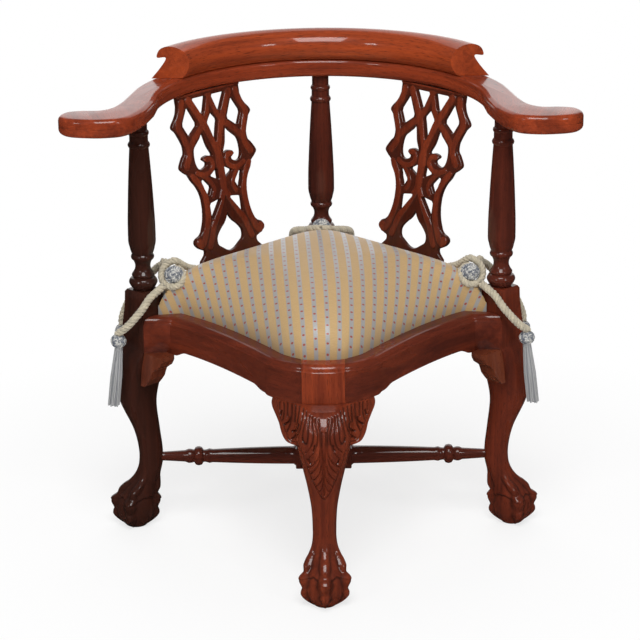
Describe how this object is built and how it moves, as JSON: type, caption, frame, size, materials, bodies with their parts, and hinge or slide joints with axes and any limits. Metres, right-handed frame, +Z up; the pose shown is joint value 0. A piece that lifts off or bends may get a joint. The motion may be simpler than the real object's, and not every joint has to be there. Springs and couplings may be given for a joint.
{
  "type": "corner armchair",
  "caption": "Corner armchair with cabriole legs, ball-and-claw feet, turned columns, pierced splats, half-round arm rail, crossed stretchers and a lift-out slip seat tied by ropes.",
  "frame": {"origin": "on the floor, midway between the front and rear feet and between the side feet", "axes": "+X to the right seen from the front, -Y towards the front leg and the viewer, +Z up"},
  "size_m": [0.774, 0.67, 0.7453],
  "materials": {
    "mahogany": "gloss lacquer",
    "striped_silk": "woven stripe with dots",
    "cream_cord": "twisted rope",
    "grey_fringe": "silky fringe",
    "linen": "plain weave",
    "beech": "bare",
    "hair_padding": "stuffing under calico"
  },
  "bodies": {
    "chair_frame": {"front_leg": "mahogany", "left_leg": "mahogany", "right_leg": "mahogany", "rear_leg": "mahogany", "front_left_rail": "mahogany", "front_right_rail": "mahogany", "rear_left_rail": "mahogany", "rear_right_rail": "mahogany", "front_leg_bracket_left": "mahogany", "front_leg_bracket_right": "mahogany", "left_leg_bracket_front": "mahogany", "left_leg_bracket_rear": "mahogany", "right_leg_bracket_front": "mahogany", "right_leg_bracket_rear": "mahogany", "rear_leg_bracket_left": "mahogany", "rear_leg_bracket_right": "mahogany", "front_corner_block": "mahogany", "rear_corner_block": "mahogany", "left_corner_block": "mahogany", "right_corner_block": "mahogany", "left_column": "mahogany", "right_column": "mahogany", "rear_column": "mahogany", "left_splat": "mahogany", "right_splat": "mahogany", "left_shoe": "mahogany", "right_shoe": "mahogany", "left_arm": "mahogany", "right_arm": "mahogany", "crest": "mahogany", "cross_stretcher": "mahogany", "long_stretcher": "mahogany"},
    "slip_seat": {"seat_frame_front_right": "beech", "seat_frame_rear_right": "beech", "seat_frame_rear_left": "beech", "seat_frame_front_left": "beech", "seat_webbing": "linen", "seat_padding": "hair_padding", "seat_cover": "striped_silk", "dust_cover": "linen", "left_tie_rosette": "cream_cord", "left_tie_cord_front": "cream_cord", "left_tie_tassel_front": "grey_fringe", "left_tie_cord_rear": "cream_cord", "left_tie_tassel_rear": "grey_fringe", "right_tie_rosette": "cream_cord", "right_tie_cord_front": "cream_cord", "right_tie_tassel_front": "grey_fringe", "right_tie_cord_rear": "cream_cord", "right_tie_tassel_rear": "grey_fringe", "rear_tie_rosette": "cream_cord", "rear_tie_cord_right": "cream_cord", "rear_tie_tassel_right": "grey_fringe", "rear_tie_cord_left": "cream_cord", "rear_tie_tassel_left": "grey_fringe"}
  },
  "joints": [
    {"name": "seat_lift", "type": "slide", "parent": "chair_frame", "child": "slip_seat", "axis": [0, 0, 1], "range_m": [0, 0.1]}
  ]
}
